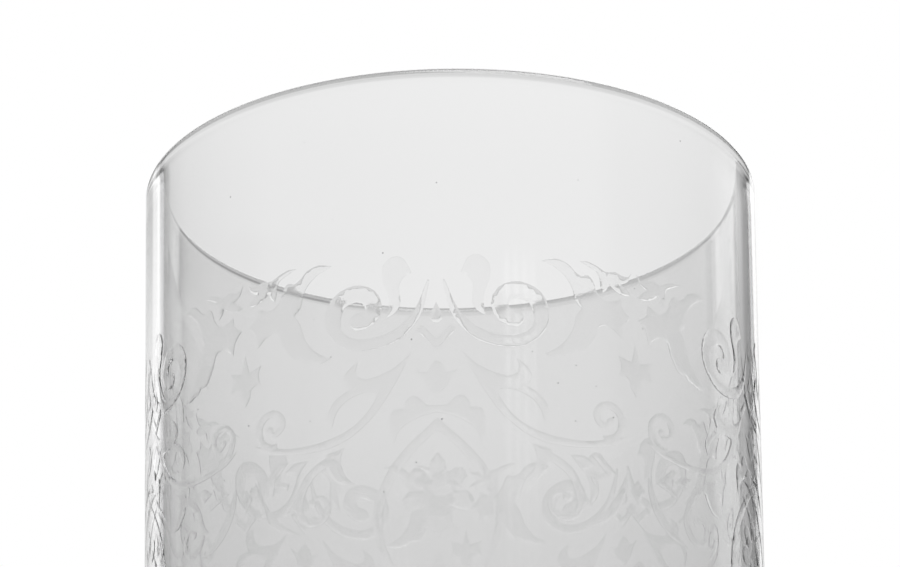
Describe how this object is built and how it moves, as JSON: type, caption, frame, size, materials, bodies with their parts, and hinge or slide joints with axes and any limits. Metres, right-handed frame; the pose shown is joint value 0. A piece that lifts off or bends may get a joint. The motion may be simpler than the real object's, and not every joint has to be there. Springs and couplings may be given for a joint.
{
  "type": "whisky glass",
  "caption": "Heavy-based clear glass tumbler with slightly flared straight walls and a raised band of scroll and leaf ornament, for holding a drink",
  "frame": {"origin": "middle of the foot, on the plane that the glass stands on", "axes": "+Z is the axis of the glass, up to the lip; an axis of the ornament's repeat faces -Y"},
  "size_m": [0.084, 0.084, 0.094],
  "materials": {
    "clear_glass": "polished clear glass, faintly grey through its thickness",
    "raised_ornament": "raised clear glass ornament with a fine satin surface"
  },
  "bodies": {
    "root": {"tumbler_body": "clear_glass", "crest_leaves": "raised_ornament", "crest_wings": "raised_ornament", "volutes": "raised_ornament", "keystones": "raised_ornament", "acanthus_sprays": "raised_ornament", "florets": "raised_ornament", "tulip_buds": "raised_ornament", "wing_leaves": "raised_ornament", "scroll_stems": "raised_ornament", "ogee_arches": "raised_ornament", "palmettes": "raised_ornament", "lower_scrolls": "raised_ornament", "darts": "raised_ornament", "crescents": "raised_ornament", "diamonds": "raised_ornament", "foot_scrolls": "raised_ornament", "foot_leaves": "raised_ornament"}
  },
  "joints": []
}
